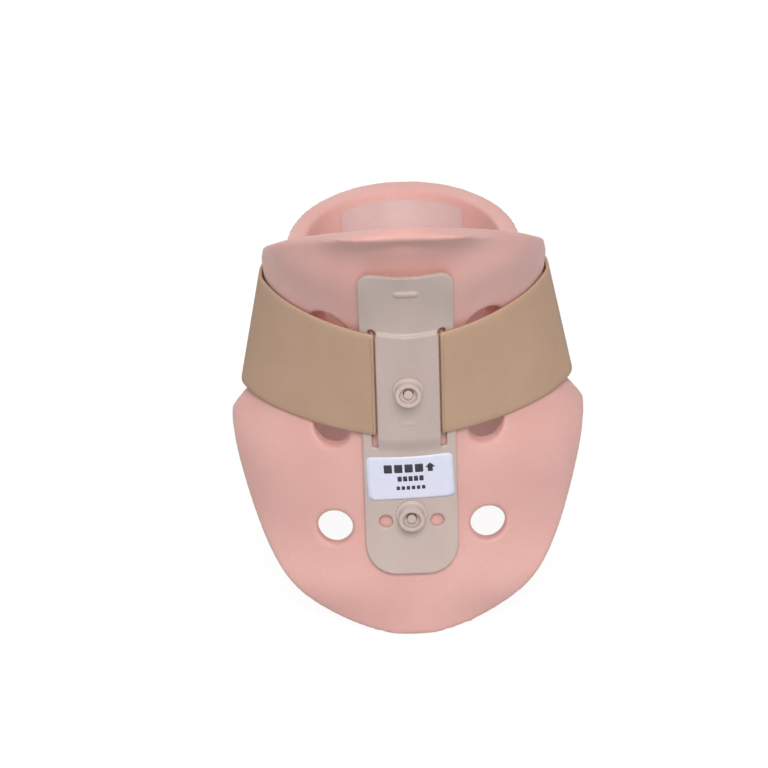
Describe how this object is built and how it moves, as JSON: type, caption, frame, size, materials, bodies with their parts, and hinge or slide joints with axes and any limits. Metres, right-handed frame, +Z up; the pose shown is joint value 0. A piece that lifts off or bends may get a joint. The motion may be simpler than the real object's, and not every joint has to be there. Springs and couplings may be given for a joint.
{
  "type": "cervical collar",
  "caption": "Child-size foam neck collar in a back half and a front half, each stiffened by a moulded strut, closed by a hook-and-loop strap.",
  "frame": {"origin": "centre of the collar's box, at the level of the edges it stands on", "axes": "+Z up the neck, +Y towards the wearer's chin, +X to the wearer's right"},
  "size_m": [0.1454, 0.1458, 0.192],
  "materials": {
    "foam": "soft matte closed-cell foam with a faint moulded skin",
    "strut_plastic": "satin moulded thermoplastic",
    "rivet_plastic": "semi-gloss moulded plastic",
    "label": "satin coated label stock",
    "clear_film": "milky adhesive film",
    "strap_webbing": "fine brushed weave",
    "hook_tape": "hook pile",
    "loop_tape": "loop pile"
  },
  "bodies": {
    "back_half": {"back_foam_shell": "foam", "back_strut": "strut_plastic", "back_label": "label", "strap_back": "strap_webbing", "back_upper_rivet_socket": "rivet_plastic", "back_upper_rivet_post": "rivet_plastic", "back_lower_rivet_socket": "rivet_plastic", "back_lower_rivet_post": "rivet_plastic"},
    "front_half": {"front_foam_shell": "foam", "front_strut": "strut_plastic", "front_label": "label", "front_inner_label": "clear_film", "front_upper_rivet_socket": "rivet_plastic", "front_upper_rivet_post": "rivet_plastic", "front_lower_rivet_socket": "rivet_plastic", "front_lower_rivet_post": "rivet_plastic", "loop_patch_left": "loop_tape", "loop_patch_right": "loop_tape"},
    "strap_end_right": {"strap_end_right": "strap_webbing", "hook_tab_right": "hook_tape"},
    "strap_end_left": {"strap_end_left": "strap_webbing", "hook_tab_left": "hook_tape"}
  },
  "joints": [
    {"name": "peel_right", "type": "hinge", "parent": "back_half", "child": "strap_end_right", "pos_m": [0.0635, 0.0047, 0.115], "axis": [0.1877, 0, -0.9822], "range_deg": [0, 110]},
    {"name": "peel_left", "type": "hinge", "parent": "back_half", "child": "strap_end_left", "pos_m": [-0.0635, 0.0047, 0.115], "axis": [0.1877, 0, 0.9822], "range_deg": [0, 110]},
    {"name": "front_slide", "type": "slide", "parent": "back_half", "child": "front_half", "axis": [0, 1, 0], "range_m": [0, 0.058]}
  ],
  "couplings": [
    {"joint": "peel_left", "follows": "peel_right", "ratio": 1},
    {"joint": "front_slide", "follows": "peel_right", "m_per_rad": 0.03}
  ]
}
